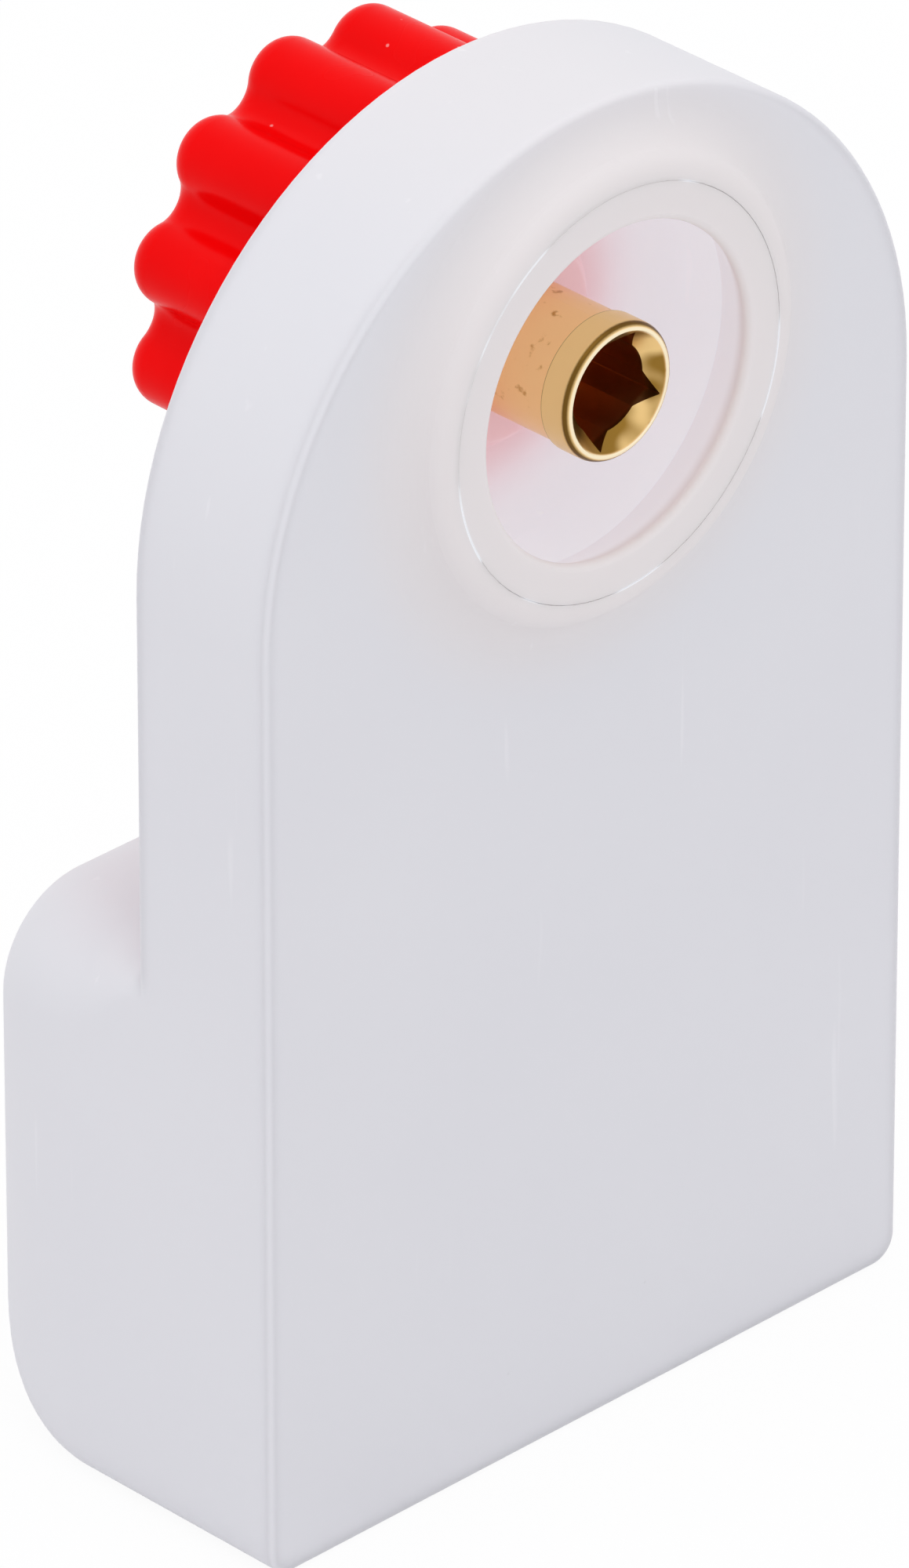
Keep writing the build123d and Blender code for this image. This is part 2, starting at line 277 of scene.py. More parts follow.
        # Hairline scratches, drawn wider than the real 0.02 mm so they show.
        lines = add_node(
            tree,
            "ShaderNodeMapping",
            None,
            {
                "Vector": place,
                "Rotation": self.scratch_turn,
                "Scale": Vector(self.scratch_spread) / (self.scratch_pitch_mm * MM),
            },
        )
        line_noise = add_node(
            tree,
            "ShaderNodeTexNoise",
            None,
            {"Vector": lines.outputs[0], "Scale": 1.0, "Detail": 2.0},
        )
        hairline = add_node(
            tree,
            "ShaderNodeMapRange",
            {"interpolation_type": "SMOOTHSTEP"},
            {
                "Value": line_noise.outputs["Fac"],
                "From Min": self.scratch_edge[0],
                "From Max": self.scratch_edge[1],
                "To Min": 0.0,
                "To Max": 1.0,
            },
        )
        grain = add_node(
            tree,
            "ShaderNodeTexNoise",
            None,
            {"Vector": place, "Scale": 1 / (self.grain_mm * MM), "Detail": 2.0},
        )
        pale = add_node(
            tree,
            "ShaderNodeMath",
            {"operation": "MULTIPLY"},
            {0: hairline.outputs[0], 1: self.scratch_share},
        )
        colour = add_node(
            tree,
            "ShaderNodeMix",
            {"data_type": "RGBA"},
            {"Factor": pale.outputs[0], 6: colour, 7: linear(self.scratch_colour)},
        ).outputs[2]
        # Milky plastic hides its outer edges: light creeps round them.
        reach: bpy.types.NodeSocket | float = self.least_soft_edge_mm * MM
        if self.glow_centre is not None:
            reach = add_node(
                tree,
                "ShaderNodeMapRange",
                None,
                {
                    "Value": self.away_from_axis(tree, place),
                    "From Min": self.soft_edge_fade[0],
                    "From Max": self.soft_edge_fade[1],
                    "To Min": 0.0,
                    "To Max": self.soft_edge_mm * MM,
                },
            ).outputs[0]
        soft_edge = add_node(
            tree, "ShaderNodeBevel", {"samples": 8}, {"Radius": reach}
        )
        grain_bump = add_node(
            tree,
            "ShaderNodeBump",
            None,
            {
                "Strength": self.grain_strength,
                "Distance": self.relief_mm * MM,
                "Height": grain.outputs["Fac"],
                "Normal": soft_edge.outputs[0],
            },
        )
        scratch_bump = add_node(
            tree,
            "ShaderNodeBump",
            {"invert": True},
            {
                "Strength": self.scratch_strength,
                "Distance": self.relief_mm * MM,
                "Height": hairline.outputs[0],
                "Normal": grain_bump.outputs[0],
            },
        )
        satin = add_node(
            tree,
            "ShaderNodeMapRange",
            None,
            {
                "Value": cloud.outputs["Fac"],
                "To Min": self.roughness + self.satin_spread[0],
                "To Max": self.roughness + self.satin_spread[1],
            },
        )
        shader = add_node(
            tree,
            "ShaderNodeBsdfPrincipled",
            {"subsurface_method": "RANDOM_WALK"},
            {
                "Base Color": colour,
                "Roughness": satin.outputs[0],
                "IOR": self.ior,
                "Specular IOR Level": self.specular,
                "Subsurface Weight": self.translucency,
                "Subsurface Radius": self.depth_by_colour,
                "Subsurface Scale": self.depth_mm * MM,
                "Emission Color": inner_colour,
                "Emission Strength": carried,
                "Normal": scratch_bump.outputs[0],
            },
        )
        add_node(tree, "ShaderNodeOutputMaterial", None, {0: shader.outputs[0]})
        return material

    def away_from_axis(
        self, tree: bpy.types.NodeTree, place: bpy.types.NodeSocket
    ) -> bpy.types.NodeSocket:
        """Return the distance from the axis through the glow centre.

        Args:
            tree: Node tree of the material.
            place: Object coordinates.

        Returns:
            Distance in metres.
        """
        apart = add_node(
            tree,
            "ShaderNodeVectorMath",
            {"operation": "SUBTRACT"},
            {0: place, 1: Vector(self.glow_centre)},
        )
        flat = add_node(
            tree,
            "ShaderNodeVectorMath",
            {"operation": "MULTIPLY"},
            {0: apart.outputs[0], 1: (1.0, 0.0, 1.0)},
        )
        away = add_node(
            tree, "ShaderNodeVectorMath", {"operation": "LENGTH"}, {0: flat.outputs[0]}
        )
        return away.outputs["Value"]

    def add_warmth(
        self,
        tree: bpy.types.NodeTree,
        place: bpy.types.NodeSocket,
        colour: bpy.types.NodeSocket,
    ) -> bpy.types.NodeSocket:
        """Warm the boss a little with painted light, fading into the cooler face round
        it.

        Args:
            tree: Node tree of the material.
            place: Object coordinates.
            colour: Colour of the plastic so far.

        Returns:
            The warmed colour.
        """
        share = add_node(
            tree,
            "ShaderNodeMapRange",
            {"interpolation_type": "SMOOTHSTEP"},
            {
                "Value": self.away_from_axis(tree, place),
                "From Min": self.warm_radius,
                "From Max": self.warm_radius + self.warm_fade,
                "To Min": 1.0,
                "To Max": 0.0,
            },
        )
        return add_node(
            tree,
            "ShaderNodeMix",
            {"data_type": "RGBA"},
            {"Factor": share.outputs[0], 6: colour, 7: linear(self.warm_colour)},
        ).outputs[2]

    def add_carried_light(
        self, tree: bpy.types.NodeTree, place: bpy.types.NodeSocket
    ) -> bpy.types.NodeSocket:
        """Light the recess with what the milky plastic carries into it.

        Args:
            tree: Node tree of the material.
            place: Object coordinates.

        Returns:
            Emission strength: full in the recess, the joint line's painted highlight
                arcs on the face, none elsewhere on the outer faces.
        """
        inside = add_node(
            tree,
            "ShaderNodeMapRange",
            {"interpolation_type": "SMOOTHSTEP"},
            {
                "Value": self.away_from_axis(tree, place),
                "From Min": self.throat_radius,
                "From Max": self.throat_radius + self.throat_edge,
                "To Min": self.carried_light,
                "To Max": 0.0,
            },
        )
        split = add_node(tree, "ShaderNodeSeparateXYZ", None, {0: place})
        deep = add_node(
            tree,
            "ShaderNodeMapRange",
            {"interpolation_type": "SMOOTHSTEP"},
            {
                "Value": split.outputs["Y"],
                "From Min": self.throat_front,
                "From Max": self.throat_front + self.throat_fade,
            },
        )
        before = add_node(
            tree,
            "ShaderNodeMath",
            {"operation": "LESS_THAN"},
            {0: split.outputs["Y"], 1: self.glow_plane + self.behind_glow},
        )
        amount = add_node(
            tree,
            "ShaderNodeMath",
            {"operation": "MULTIPLY"},
            {0: inside.outputs[0], 1: deep.outputs[0]},
        )
        inner = add_node(
            tree,
            "ShaderNodeMath",
            {"operation": "MULTIPLY"},
            {0: amount.outputs[0], 1: before.outputs[0]},
        )
        return add_node(
            tree,
            "ShaderNodeMath",
            {"operation": "ADD"},
            {0: inner.outputs[0], 1: self.add_joint_light(tree, place)},
        ).outputs[0]

    def add_joint_light(
        self, tree: bpy.types.NodeTree, place: bpy.types.NodeSocket
    ) -> bpy.types.NodeSocket:
        """Paint a highlight on scattered arcs of the collar's joint line.

        Args:
            tree: Node tree of the material.
            place: Object coordinates.

        Returns:
            Emission strength of the painted highlight arcs.
        """
        beside = add_node(
            tree,
            "ShaderNodeMath",
            {"operation": "SUBTRACT"},
            {0: self.away_from_axis(tree, place), 1: self.joint_radius},
        )
        near = add_node(
            tree, "ShaderNodeMath", {"operation": "ABSOLUTE"}, {0: beside.outputs[0]}
        )
        line = add_node(
            tree,
            "ShaderNodeMapRange",
            {"interpolation_type": "SMOOTHSTEP"},
            {
                "Value": near.outputs[0],
                "From Min": self.joint_line_mm[0] * MM,
                "From Max": self.joint_line_mm[1] * MM,
                "To Min": self.joint_light,
                "To Max": 0.0,
            },
        )
        # Noise picks the scattered arcs that carry the painted highlight.
        patches = add_node(
            tree,
            "ShaderNodeTexNoise",
            None,
            {"Vector": place, "Scale": 1 / (self.joint_patch_mm * MM), "Detail": 2.0},
        )
        highlit_arcs = add_node(
            tree,
            "ShaderNodeMapRange",
            {"interpolation_type": "SMOOTHSTEP"},
            {
                "Value": patches.outputs["Fac"],
                "From Min": self.joint_highlight_edge[0],
                "From Max": self.joint_highlight_edge[1],
            },
        )
        return add_node(
            tree,
            "ShaderNodeMath",
            {"operation": "MULTIPLY"},
            {0: line.outputs[0], 1: highlit_arcs.outputs[0]},
        ).outputs[0]

    def add_glow(
        self,
        tree: bpy.types.NodeTree,
        place: bpy.types.NodeSocket,
        colour: bpy.types.NodeSocket,
    ) -> bpy.types.NodeSocket:
        """Tint the thin web where the red knob behind it shines through.

        Args:
            tree: Node tree of the material.
            place: Object coordinates.
            colour: Colour of the plastic so far.

        Returns:
            The tinted colour.
        """
        disc = add_node(
            tree,
            "ShaderNodeMapRange",
            {"interpolation_type": "SMOOTHERSTEP"},
            {
                "Value": self.away_from_axis(tree, place),
                "From Min": self.glow_core * self.glow_radius,
                "From Max": self.glow_radius,
                "To Min": 1.0,
                "To Max": 0.0,
            },
        )
        split = add_node(tree, "ShaderNodeSeparateXYZ", None, {0: place})
        beside = add_node(
            tree,
            "ShaderNodeMath",
            {"operation": "SUBTRACT"},
            {0: split.outputs["Y"], 1: self.glow_plane},
        )
        near = add_node(
            tree, "ShaderNodeMath", {"operation": "ABSOLUTE"}, {0: beside.outputs[0]}
        )
        layer = add_node(
            tree,
            "ShaderNodeMapRange",
            {"interpolation_type": "SMOOTHSTEP"},
            {
                "Value": near.outputs[0],
                "From Min": self.glow_layer * self.glow_reach,
                "From Max": self.glow_reach,
                "To Min": self.glow_strength,
                "To Max": 0.0,
            },
        )
        amount = add_node(
            tree,
            "ShaderNodeMath",
            {"operation": "MULTIPLY"},
            {0: disc.outputs[0], 1: layer.outputs[0]},
        )
        return add_node(
            tree,
            "ShaderNodeMix",
            {"data_type": "RGBA"},
            {"Factor": amount.outputs[0], 6: colour, 7: linear(self.glow_colour)},
        ).outputs[2]


@dataclass(frozen=True)
class TurnedBrass:
    """Free-cutting brass turned on a lathe, handled and slightly tarnished.

    The eye sees a soft orange-gold shank, a polished head with a painted dark
    reflection band under its rim's painted highlight, painted reflection streaks
    in the countersink, and a brown socket darkened by painted shade. The band,
    rim highlight and streaks are painted reflection and the socket's darkness is
    painted shade: as colour, they don't move as a reflection does.

    The pairs that bound a zone are a radius or a depth behind the tip, where
    the zone starts to show and where it is full.
    """

    name: str = "turned_brass"
    colour: str = "#F8C98C"
    stain_colour: str = "#C28C4A"
    head_colour: str = "#F0CB8A"
    # The seam's dark line, and the painted dark reflection under the rim.
    seam_and_reflection_colour: str = "#705222"
    # Painted highlight on the rim.
    rim_highlight_colour: str = "#FFF0CE"
    # Painted dark reflection streaks in the countersink.
    streak_reflection_colour: str = "#94702F"
    # Painted shade in the socket.
    socket_shade_colour: str = "#CC9459"
    roughness: float = 0.30
    gloss_spread: tuple[float, float] = (-0.05, 0.08)
    ring_pitch_mm: float = 0.22
    ring_strength: float = 0.06
    ring_relief_mm: float = 0.02
    stain_mm: float = 1.1
    stain_edge: tuple[float, float] = (0.61, 0.74)
    nick_strength: float = 0.10
    nick_relief_mm: float = 0.05
    axis_height: float = 0.0
    tip: float = 0.0
    polished: bool = True
    head_skin_mm: tuple[float, float] = (4.62, 4.70)
    head_end_mm: tuple[float, float] = (2.46, 2.40)
    seam_front_mm: tuple[float, float] = (2.32, 2.40)
    seam_rear_mm: tuple[float, float] = (2.56, 2.48)
    seam_share: float = 0.75
    reflection_band_front_mm: tuple[float, float] = (0.08, 0.24)
    reflection_band_rear_mm: tuple[float, float] = (0.56, 0.40)
    rim_highlight_mm: tuple[float, float] = (0.14, 0.06)
    countersink_mm: tuple[float, float] = (4.40, 4.25)
    socket_shade_mm: tuple[float, float] = (1.18, 1.60)
    reflection_streak_scale: float = 1.4
    reflection_streak_edge: tuple[float, float] = (0.40, 0.62)

    def build(self) -> bpy.types.Material:
        """Make the material.

        Returns:
            The node material.
        """
        material = empty_material(self.name)
        tree = material.node_tree
        place = add_node(tree, "ShaderNodeTexCoord").outputs["Object"]
        centred = add_node(
            tree,
            "ShaderNodeVectorMath",
            {"operation": "SUBTRACT"},
            {0: place, 1: (0.0, self.tip, self.axis_height)},
        ).outputs[0]
        # Distance from the axis and depth behind the tip.
        squash = add_node(
            tree,
            "ShaderNodeVectorMath",
            {"operation": "MULTIPLY"},
            {0: centred, 1: (1.0, 0.0, 1.0)},
        )
        length = add_node(
            tree,
            "ShaderNodeVectorMath",
            {"operation": "LENGTH"},
            {0: squash.outputs[0]},
        )
        radius = length.outputs["Value"]
        split = add_node(tree, "ShaderNodeSeparateXYZ", None, {0: centred})
        depth = split.outputs["Y"]

        # Sparse dark specks and a faint stain on the orange-gold shank.
        stain = add_node(
            tree,
            "ShaderNodeTexNoise",
            None,
            {"Vector": place, "Scale": 1 / (self.stain_mm * MM), "Detail": 4.0},
        )
        spots = add_node(
            tree,
            "ShaderNodeMapRange",
            {"interpolation_type": "SMOOTHSTEP"},
            {
                "Value": stain.outputs["Fac"],
                "From Min": self.stain_edge[0],
                "From Max": self.stain_edge[1],
            },
        )
        colour = add_node(
            tree,
            "ShaderNodeMix",
            {"data_type": "RGBA"},
            {
                "Factor": spots.outputs[0],
                6: linear(self.colour),
                7: linear(self.stain_colour),
            },
        ).outputs[2]
        if self.polished:
            colour = self.add_head(tree, centred, radius, depth, colour)

        # Tool rings run round the axis.
        feed = add_node(
            tree, "ShaderNodeMath", {"operation": "ADD"}, {0: depth, 1: radius}
        )
        phase = add_node(
            tree,
            "ShaderNodeMath",
            {"operation": "MULTIPLY"},
            {0: feed.outputs[0], 1: 2 * math.pi / (self.ring_pitch_mm * MM)},
        )
        rings = add_node(
            tree, "ShaderNodeMath", {"operation": "SINE"}, {0: phase.outputs[0]}
        )
        ring_bump = add_node(
            tree,
            "ShaderNodeBump",
            None,
            {
                "Strength": self.ring_strength,
                "Distance": self.ring_relief_mm * MM,
                "Height": rings.outputs[0],
            },
        )
        nick_bump = add_node(
            tree,
            "ShaderNodeBump",
            None,
            {
                "Strength": self.nick_strength,
                "Distance": self.nick_relief_mm * MM,
                "Height": spots.outputs[0],
                "Normal": ring_bump.outputs[0],
            },
        )
        gloss = add_node(
            tree,
            "ShaderNodeMapRange",
            None,
            {
                "Value": stain.outputs["Fac"],
                "To Min": self.roughness + self.gloss_spread[0],
                "To Max": self.roughness + self.gloss_spread[1],
            },
        )
        shader = add_node(
            tree,
            "ShaderNodeBsdfPrincipled",
            None,
            {
                "Base Color": colour,
                "Metallic": 1.0,
                "Roughness": gloss.outputs[0],
                "Normal": nick_bump.outputs[0],
            },
        )
        add_node(tree, "ShaderNodeOutputMaterial", None, {0: shader.outputs[0]})
        return material

    def add_head(
        self,
        tree: bpy.types.NodeTree,
        centred: bpy.types.NodeSocket,
        radius: bpy.types.NodeSocket,
        depth: bpy.types.NodeSocket,
        colour: bpy.types.NodeSocket,
    ) -> bpy.types.NodeSocket:
        """Colour the polished head; paint light and shade on rim, countersink, socket.

        Args:
            tree: Node tree of the material.
            centred: Place from the middle of the tip.
            radius: Distance from the axis.
            depth: Depth behind the tip.
            colour: Colour of the shank.

        Returns:
            The colour of the whole spindle.
        """
        # Painted reflection streaks run out from the middle of the tip, light and
        # dark.
        turned = add_node(
            tree, "ShaderNodeVectorMath", {"operation": "NORMALIZE"}, {0: centred}
        )
        streaks = add_node(
            tree,
            "ShaderNodeTexNoise",
            None,
            {"Vector": turned.outputs[0], "Scale": self.reflection_streak_scale, "Detail": 1.0},
        )
        dark = add_node(
            tree,
            "ShaderNodeMapRange",
            {"interpolation_type": "SMOOTHSTEP"},
            {
                "Value": streaks.outputs["Fac"],
                "From Min": self.reflection_streak_edge[0],
                "From Max": self.reflection_streak_edge[1],
            },
        )
        streaked_reflection = add_node(
            tree,
            "ShaderNodeMix",
            {"data_type": "RGBA"},
            {
                "Factor": dark.outputs[0],
                6: linear(self.head_colour),
                7: linear(self.streak_reflection_colour),
            },
        ).outputs[2]
        skin = (radius, self.head_skin_mm)
        sink = (radius, self.countersink_mm)
        # Each zone lies over the ones before it: its colour, share and bounds.
        zones = (
            # The head's skin, and the seam behind it.
            (linear(self.head_colour), 1.0, (skin, (depth, self.head_end_mm))),
            (
                linear(self.seam_and_reflection_colour),
                self.seam_share,
                ((depth, self.seam_front_mm), (depth, self.seam_rear_mm)),
            ),
            # The painted dark reflection under the rim, and the rim's painted
            # highlight.
            (
                linear(self.seam_and_reflection_colour),
                1.0,
                ((depth, self.reflection_band_front_mm), (depth, self.reflection_band_rear_mm), skin),
            ),
            (linear(self.rim_highlight_colour), 1.0, ((depth, self.rim_highlight_mm),)),
            # The countersink's painted reflection streaks, and painted shade in the
            # socket beyond it.
            (streaked_reflection, 1.0, (sink,)),
            (linear(self.socket_shade_colour), 1.0, ((depth, self.socket_shade_mm), sink)),
        )
        for zone_colour, share, bounds in zones:
            amount: bpy.types.NodeSocket | float = share
            for measure, (shows, full) in bounds:
                edge = add_node(
                    tree,
                    "ShaderNodeMapRange",
                    {"interpolation_type": "SMOOTHSTEP"},
                    {"Value": measure, "From Min": shows * MM, "From Max": full * MM},
                )
                amount = add_node(
                    tree,
                    "ShaderNodeMath",
                    {"operation": "MULTIPLY"},
                    {0: amount, 1: edge.outputs[0]},
                ).outputs[0]
            colour = add_node(
                tree,
                "ShaderNodeMix",
                {"data_type": "RGBA"},
                {"Factor": amount, 6: colour, 7: zone_colour},
            ).outputs[2]
        return colour


@dataclass(frozen=True)
class RedNylon:
    """Moulded nylon dyed right through: a saturated red with little shine.

    The eye sees faint broad highlights on each lobe, a fine orange peel left by
    the mould, and a few grains of pale dust.
    """

    name: str = "red_nylon"
    colour: str = "#F00104"
    deep_colour: str = "#E40002"
    dust_colour: str = "#F29A98"
    roughness: float = 0.25
    gloss_spread: tuple[float, float] = (-0.04, 0.06)
    ior: float = 1.53
    specular: float = 0.05
    translucency: float = 0.05
    depth_mm: float = 1.0
    depth_by_colour: tuple[float, float, float] = (1.0, 0.2, 0.2)
    peel_mm: float = 0.9
    peel_strength: float = 0.12
    peel_relief_mm: float = 0.04
    fleck_mm: float = 9.0
    dust_pitch_mm: float = 2.4
    dust_edge: tuple[float, float] = (0.03, 0.07)
    dust_lot: float = 0.75
    dust_share: float = 0.8

    def build(self) -> bpy.types.Material:
        """Make the material.

        Returns:
            The node material.
        """
        material = empty_material(self.name)
        tree = material.node_tree
        place = add_node(tree, "ShaderNodeTexCoord").outputs["Object"]
        drift = add_node(
            tree,
            "ShaderNodeTexNoise",
            None,
            {"Vector": place, "Scale": 1 / (self.fleck_mm * MM), "Detail": 3.0},
        )
        colour = add_node(
            tree,
            "ShaderNodeMix",
            {"data_type": "RGBA"},
            {
                "Factor": drift.outputs["Fac"],
                6: linear(self.deep_colour),
                7: linear(self.colour),
            },
        )
        # Grains of pale dust, about one cell in four, some 0.2 mm across.
        cells = add_node(
            tree,
            "ShaderNodeTexVoronoi",
            None,
            {"Vector": place, "Scale": 1 / (self.dust_pitch_mm * MM)},
        )
        grain = add_node(
            tree,
            "ShaderNodeMapRange",
            {"interpolation_type": "SMOOTHSTEP"},
            {
                "Value": cells.outputs["Distance"],
                "From Min": self.dust_edge[0],
                "From Max": self.dust_edge[1],
                "To Min": self.dust_share,
                "To Max": 0.0,
            },
        )
        lot = add_node(
            tree, "ShaderNodeSeparateColor", None, {0: cells.outputs["Color"]}
        )
        chosen = add_node(
            tree,
            "ShaderNodeMath",
            {"operation": "GREATER_THAN"},
            {0: lot.outputs[0], 1: self.dust_lot},
        )
        dust = add_node(
            tree,
            "ShaderNodeMath",
            {"operation": "MULTIPLY"},
            {0: grain.outputs[0], 1: chosen.outputs[0]},
        )
        colour = add_node(
            tree,
            "ShaderNodeMix",
            {"data_type": "RGBA"},
            {
                "Factor": dust.outputs[0],
                6: colour.outputs[2],
                7: linear(self.dust_colour),
            },
        )
        peel = add_node(
            tree,
            "ShaderNodeTexNoise",
            None,
            {"Vector": place, "Scale": 1 / (self.peel_mm * MM), "Detail": 2.0},
        )
        bump = add_node(
            tree,
            "ShaderNodeBump",
            None,
            {
                "Strength": self.peel_strength,
                "Distance": self.peel_relief_mm * MM,
                "Height": peel.outputs["Fac"],
            },
        )
        gloss = add_node(
            tree,
            "ShaderNodeMapRange",
            None,
            {
                "Value": drift.outputs["Fac"],
                "To Min": self.roughness + self.gloss_spread[0],
                "To Max": self.roughness + self.gloss_spread[1],
            },
        )
        shader = add_node(
            tree,
            "ShaderNodeBsdfPrincipled",
            None,
            {
                "Base Color": colour.outputs[2],
                "Roughness": gloss.outputs[0],
                "IOR": self.ior,
                "Specular IOR Level": self.specular,
                "Subsurface Weight": self.translucency,
                "Subsurface Radius": self.depth_by_colour,
                "Subsurface Scale": self.depth_mm * MM,
                "Normal": bump.outputs[0],
            },
        )
        add_node(tree, "ShaderNodeOutputMaterial", None, {0: shader.outputs[0]})
        return material


@dataclass(frozen=True)
class ZincPlatedSteel:
    """Steel with bright zinc plating: grey metal with a soft, uneven shine."""

    name: str = "zinc_plated_steel"
    colour: str = "#C3C5C8"
    dull_colour: str = "#9EA1A5"
    roughness: float = 0.32
    gloss_spread: tuple[float, float] = (-0.08, 0.12)
    spangle_mm: float = 0.8
    spangle_strength: float = 0.1
    spangle_relief_mm: float = 0.02

    def build(self) -> bpy.types.Material:
        """Make the material.

        Returns:
            The node material.
        """
        material = empty_material(self.name)
        tree = material.node_tree
        place = add_node(tree, "ShaderNodeTexCoord").outputs["Object"]
        spangle = add_node(
            tree,
            "ShaderNodeTexNoise",
            None,
            {"Vector": place, "Scale": 1 / (self.spangle_mm * MM), "Detail": 3.0},
        )
        colour = add_node(
            tree,
            "ShaderNodeMix",
            {"data_type": "RGBA"},
            {
                "Factor": spangle.outputs["Fac"],
                6: linear(self.dull_colour),
                7: linear(self.colour),
            },
        )
        gloss = add_node(
            tree,
            "ShaderNodeMapRange",
            None,
            {
                "Value": spangle.outputs["Fac"],
                "To Min": self.roughness + self.gloss_spread[0],
                "To Max": self.roughness + self.gloss_spread[1],
            },
        )
        bump = add_node(
            tree,
            "ShaderNodeBump",
            None,
            {
                "Strength": self.spangle_strength,
                "Distance": self.spangle_relief_mm * MM,
                "Height": spangle.outputs["Fac"],
            },
        )
        shader = add_node(
            tree,
            "ShaderNodeBsdfPrincipled",
            None,
            {
                "Base Color": colour.outputs[2],
                "Metallic": 1.0,
                "Roughness": gloss.outputs[0],
                "Normal": bump.outputs[0],
            },
        )
        add_node(tree, "ShaderNodeOutputMaterial", None, {0: shader.outputs[0]})
        return material


# --------------------------------------------------------------------------
# Sub-assemblies
# --------------------------------------------------------------------------


def dress(node_name: str, material: bpy.types.Material) -> None:
    """Put one material in every slot of a CAD node.

    Args:
        node_name: Name of the CAD node.
        material: Material that it takes.
    """
    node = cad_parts[node_name]
    if not node.material_slots:
        node.data.materials.append(material)
    for slot in node.material_slots:
        slot.material = material
    LOG.info("%s takes %s", node_name, material.name)


@dataclass
class Housing:
    """Plate with its grip block, collar and bush: they stay still in the hand.

    It also dresses the front thrust washer. The washer turns with the rotor,
    and it lies on the recess floor and is lit like it.
    """

    bush_flange: float = 0.001
    body_light: float = 0.35
    body_throat: float = 0.01445
    body_light_run: float = 0.0092
    collar_light: float = 0.27
    collar_throat: float = 0.0141
    collar_light_run: float = 0.0121

    def dress(self) -> None:
        """Give the housing's CAD nodes their plastics."""
        axis_height, _ = spindle_axis()
        bush_low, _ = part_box("bearing_bush")
        floor_plane = bush_low[1] + self.bush_flange
        body_plastic = MilkyPolyethylene(
            glow_centre=(0.0, 0.0, axis_height),
            glow_plane=floor_plane,
            carried_light=self.body_light,
            throat_front=floor_plane - self.body_light_run,
            throat_radius=self.body_throat,
        )
        dress("body", body_plastic.build())
        collar_plastic = replace(
            body_plastic,
            name="collar_polyethylene",
            carried_light=self.collar_light,
            throat_radius=self.collar_throat,
            throat_front=floor_plane - self.collar_light_run,
        )
        dress("front_collar", collar_plastic.build())
        bush_plastic = replace(body_plastic, name="bush_plastic")
        dress("bearing_bush", bush_plastic.build())
        washer_plastic = replace(body_plastic, name="washer_plastic")
        dress("front_thrust_washer", washer_plastic.build())


@dataclass
class Rotor:
    """Spindle, hub, knob, screw, lock washer, cap and washers turn together.

    The front thrust washer turns with them, and the housing dresses it.
    """

    cap_roughness: float = 0.24

    def dress(self) -> None:
        """Give the rotor's CAD nodes their metals and plastics."""
        axis_height, tip = spindle_axis()
        brass = TurnedBrass(axis_height=axis_height, tip=tip)
        dress("spindle", brass.build())
        hub_brass = replace(brass, name="hub_brass", polished=False)
        dress("knob_hub", hub_brass.build())
        rear_washer = MilkyPolyethylene(name="rear_washer_plastic")
        dress("rear_thrust_washer", rear_washer.build())
        dress("knob", RedNylon().build())
        cap_nylon = RedNylon(name="cap_nylon", roughness=self.cap_roughness)
        dress("knob_cap", cap_nylon.build())
        steel = ZincPlatedSteel().build()
        dress("lock_washer", steel)
        dress("knob_screw", steel)


# --------------------------------------------------------------------------
# Studio
# --------------------------------------------------------------------------


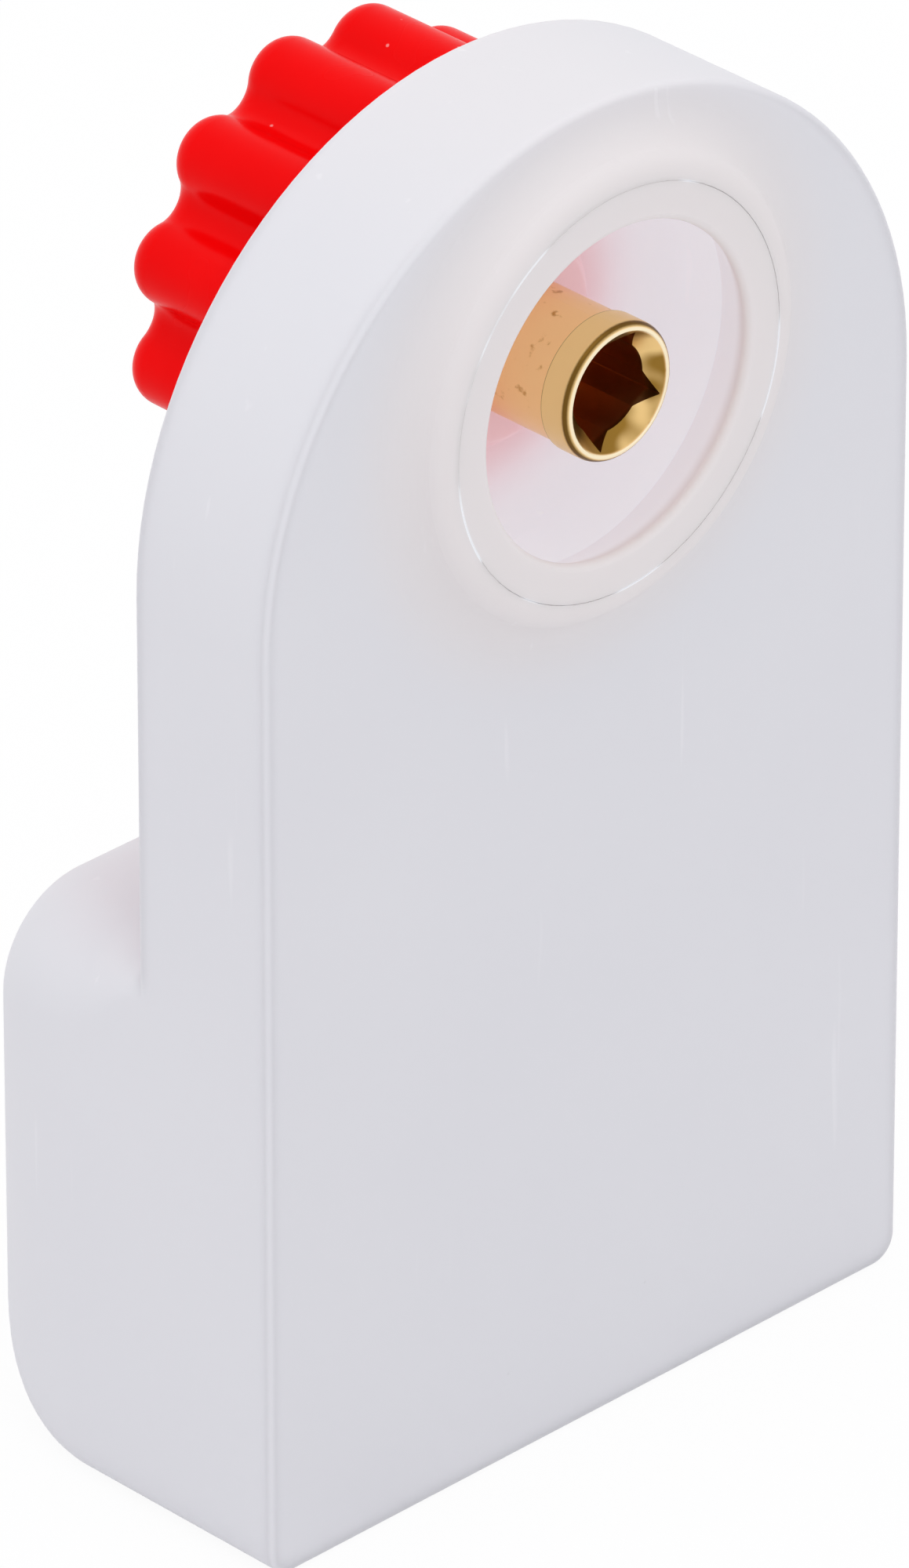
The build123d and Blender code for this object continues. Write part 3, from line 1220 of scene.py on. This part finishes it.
@dataclass
class Studio:
    """Pale floor, plain light and the camera.

    Lengths are metres except the lens and sensor, and angles are degrees.
    """

    floor_size: float = 6.0
    floor_drop: float = 0.0001
    floor_colour: str = "#F4F4F5"
    floor_glow_share: float = 0.93
    ambient_colour: tuple[float, float, float, float] = (0.99, 0.985, 1.0, 1.0)
    ambient_strength: float = 0.98
    lamp_place: tuple[float, float, float] = (-0.10, -0.05, 0.60)
    lamp_aim: tuple[float, float, float] = (0.0, 0.0, 0.06)
    lamp_size: float = 0.50
    lamp_power: float = 0.6
    camera_azimuth: float = -44.38
    camera_elevation: float = 29.99
    camera_distance: float = 1.0881
    lens_mm: float = 371.1
    sensor_mm: float = 36.0
    aim_depth: float = -0.00215
    aim_height: float = 0.054
    aim_right: float = 0.00132
    aim_down: float = 0.0089
    clip_start: float = 0.05
    clip_end: float = 20.0

    def seen_rays(self, tree: bpy.types.NodeTree) -> bpy.types.NodeSocket:
        """Return 1 for rays that see the backdrop: camera, glossy, transmitted.

        Args:
            tree: Node tree of the floor or the world.

        Returns:
            The joined mask.
        """
        path = add_node(tree, "ShaderNodeLightPath")
        first = add_node(
            tree,
            "ShaderNodeMath",
            {"operation": "MAXIMUM"},
            {0: path.outputs["Is Camera Ray"], 1: path.outputs["Is Glossy Ray"]},
        )
        return add_node(
            tree,
            "ShaderNodeMath",
            {"operation": "MAXIMUM"},
            {0: first.outputs[0], 1: path.outputs["Is Transmission Ray"]},
        ).outputs[0]

    def add_floor(self) -> None:
        """Lay a pale floor under the winder."""
        bpy.ops.mesh.primitive_plane_add(
            size=self.floor_size, location=(0.0, 0.0, -self.floor_drop)
        )
        floor = bpy.context.object
        floor.name = "studio_floor"
        material = empty_material("studio_floor_paint")
        tree = material.node_tree
        seen = self.seen_rays(tree)
        share = add_node(
            tree,
            "ShaderNodeMath",
            {"operation": "MULTIPLY"},
            {0: seen, 1: self.floor_glow_share},
        )
        paint = add_node(
            tree, "ShaderNodeBsdfDiffuse", None, {"Color": linear(self.floor_colour)}
        )
        shine = add_node(
            tree, "ShaderNodeEmission", None, {"Color": (1, 1, 1, 1), "Strength": 1.0}
        )
        mix = add_node(
            tree,
            "ShaderNodeMixShader",
            None,
            {0: share.outputs[0], 1: paint.outputs[0], 2: shine.outputs[0]},
        )
        add_node(tree, "ShaderNodeOutputMaterial", None, {0: mix.outputs[0]})
        floor.data.materials.append(material)

    def add_world(self) -> None:
        """Surround the winder with even light, white behind it."""
        world = bpy.data.worlds.new("studio_world")
        bpy.context.scene.world = world
        world.use_nodes = True
        tree = world.node_tree
        tree.nodes.clear()
        ambient = add_node(
            tree,
            "ShaderNodeBackground",
            None,
            {0: self.ambient_colour, 1: self.ambient_strength},
        )
        white = add_node(tree, "ShaderNodeBackground", None, {0: (1, 1, 1, 1), 1: 1.0})
        seen = self.seen_rays(tree)
        mix = add_node(
            tree,
            "ShaderNodeMixShader",
            None,
            {0: seen, 1: ambient.outputs[0], 2: white.outputs[0]},
        )
        add_node(tree, "ShaderNodeOutputWorld", None, {0: mix.outputs[0]})

    def add_lamp(self) -> None:
        """Hang one square soft box over the winder, aimed at it."""
        lamp = bpy.data.lights.new("overhead_box", "AREA")
        lamp.shape = "SQUARE"
        lamp.size = self.lamp_size
        lamp.energy = self.lamp_power
        holder = bpy.data.objects.new("overhead_box", lamp)
        bpy.context.scene.collection.objects.link(holder)
        holder.location = self.lamp_place
        aim = Vector(self.lamp_aim) - Vector(self.lamp_place)
        holder.rotation_euler = aim.to_track_quat("-Z", "Y").to_euler()

    def add_camera(self) -> None:
        """Set the camera up at its viewing angle with a long lens."""
        azimuth = math.radians(self.camera_azimuth)
        elevation = math.radians(self.camera_elevation)
        back = Vector(
            (
                math.sin(azimuth) * math.cos(elevation),
                -math.cos(azimuth) * math.cos(elevation),
                math.sin(elevation),
            )
        )
        right = (-back).cross(Vector((0, 0, 1))).normalized()
        up = right.cross(-back).normalized()
        aim = Vector((0.0, self.aim_depth, self.aim_height))
        aim += right * self.aim_right - up * self.aim_down
        data = bpy.data.cameras.new("studio_camera")
        data.sensor_fit = "VERTICAL"
        data.sensor_height = self.sensor_mm
        data.sensor_width = self.sensor_mm
        data.lens = self.lens_mm
        data.clip_start = self.clip_start
        data.clip_end = self.clip_end
        camera = bpy.data.objects.new("studio_camera", data)
        bpy.context.scene.collection.objects.link(camera)
        turn = Matrix((right, up, back)).transposed().to_4x4()
        place = Matrix.Translation(aim + back * self.camera_distance)
        camera.matrix_world = place @ turn
        bpy.context.scene.camera = camera

    def build(self) -> None:
        """Build floor, world, lamp and camera."""
        bpy.context.scene.view_settings.view_transform = "Standard"
        self.add_floor()
        self.add_world()
        self.add_lamp()
        self.add_camera()
        LOG.info("studio built")


def main() -> None:
    """Build the winder's looks and the studio."""
    logging.basicConfig(level=logging.INFO, format="%(name)s: %(message)s")
    bpy.ops.object.select_all(action="DESELECT")
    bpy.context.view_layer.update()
    Housing().dress()
    Rotor().dress()
    Studio().build()


if __name__ == "__main__":
    main()
